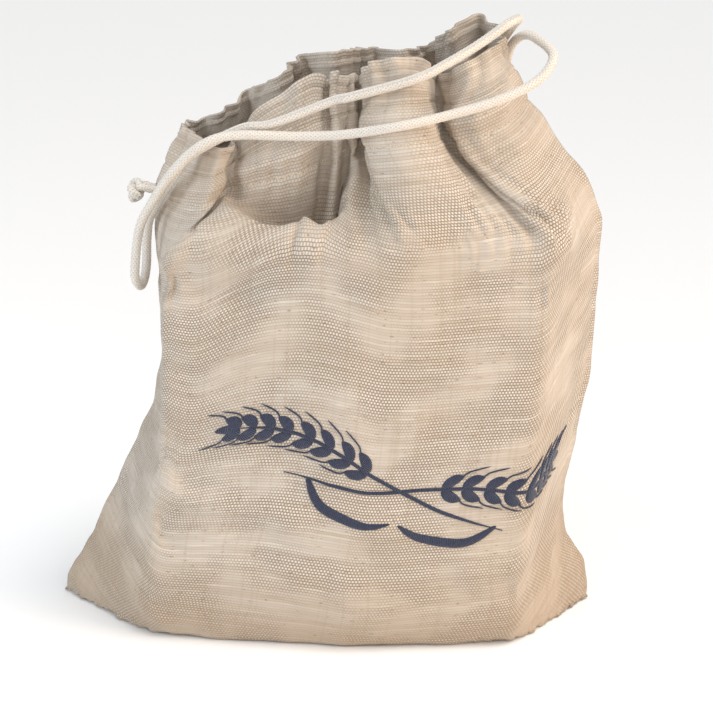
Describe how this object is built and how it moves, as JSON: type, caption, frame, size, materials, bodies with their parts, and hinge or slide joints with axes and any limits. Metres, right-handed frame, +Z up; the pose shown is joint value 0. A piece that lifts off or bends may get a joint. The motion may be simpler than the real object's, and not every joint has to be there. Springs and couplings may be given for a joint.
{
  "type": "drawstring bread bag",
  "caption": "Filled linen bread bag standing on its foot, mouth gathered by a drawn cord whose long loop lies across the front and hangs down one side.",
  "frame": {"origin": "middle of the cloth's bounding box, on the ground the bag stands on", "axes": "+X to the bag's right as seen from the front, along its width; the front faces -Y; +Z up"},
  "size_m": [0.2916, 0.1151, 0.3328],
  "materials": {
    "linen": "natural half-linen, coarse plain weave with slubs, matte",
    "cotton_cord": "undyed braided cotton cord, matte",
    "embroidery_thread": "dark blue satin stitch, a little lustre across the threads",
    "sewing_thread": "undyed sewing thread of the tunnel's stitching"
  },
  "bodies": {
    "root": {"front_panel": "linen", "back_panel": "linen", "drawcord_loop": "cotton_cord", "cord_knot": "cotton_cord"}
  },
  "joints": []
}
